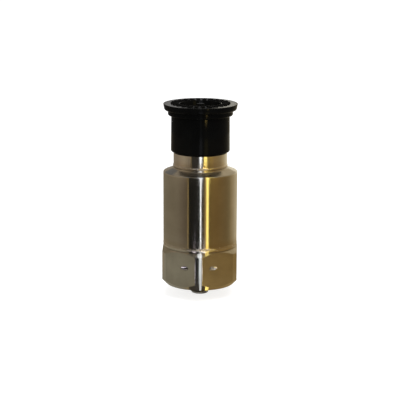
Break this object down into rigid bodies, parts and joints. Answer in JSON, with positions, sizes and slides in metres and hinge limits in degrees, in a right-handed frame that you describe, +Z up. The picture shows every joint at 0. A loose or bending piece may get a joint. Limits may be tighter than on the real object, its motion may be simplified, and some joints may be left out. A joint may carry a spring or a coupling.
{
  "type": "vibration sensor",
  "caption": "Stainless industrial vibration sensor: hexagonal base with a mounting stud and lock-wire hole, welded can, threaded connector under a black screw-on cap.",
  "frame": {"origin": "centre of the base's mounting face, on the sensor's axis", "axes": "+Z up along the axis from the mounting face to the cap; two corners of the hexagon lie on Y, with the lock-wire hole at the -Y corner, and the two connector pins lie on X"},
  "size_m": [0.0244, 0.027, 0.0639],
  "materials": {
    "stainless": "fine turned and polished",
    "dark_steel": "blackened",
    "spring_steel": "satin",
    "black_plastic": "semi-gloss moulded",
    "black_insulator": "satin",
    "gold_contact": "gold plated",
    "alumina": "lapped",
    "brass": "rolled foil",
    "piezo_ceramic": "lapped",
    "tungsten": "turned",
    "amber_plastic": "satin",
    "tinplate": "rolled",
    "board": "solder mask",
    "tantalum": "moulded",
    "red_sleeve": "satin",
    "black_sleeve": "satin"
  },
  "bodies": {
    "sensor": {"hex_base": "stainless", "can": "stainless", "connector_shell": "stainless", "mounting_stud": "dark_steel", "preload_bolt": "dark_steel", "disc_spring": "spring_steel", "connector_insert": "black_insulator", "contact_pin_left": "gold_contact", "contact_pin_right": "gold_contact", "lower_insulator": "alumina", "upper_insulator": "alumina", "ground_electrode": "brass", "signal_electrode": "brass", "top_electrode": "brass", "piezo_ring_lower": "piezo_ceramic", "piezo_ring_upper": "piezo_ceramic", "seismic_mass": "tungsten", "bolt_sleeve": "amber_plastic", "liner": "amber_plastic", "shield": "tinplate", "circuit_board": "board", "amplifier_chip": "black_insulator", "capacitor_1": "tantalum", "capacitor_2": "tantalum", "resistor_1": "black_insulator", "resistor_2": "black_insulator", "resistor_3": "black_insulator", "resistor_4": "black_insulator", "signal_lead": "red_sleeve", "ground_lead": "black_sleeve", "pin_lead_left": "black_sleeve", "pin_lead_right": "red_sleeve"},
    "cap": {"cap": "black_plastic"}
  },
  "joints": [
    {"name": "cap_lift", "type": "slide", "parent": "sensor", "child": "cap", "axis": [0, 0, 1], "range_m": [0, 0.02]}
  ]
}
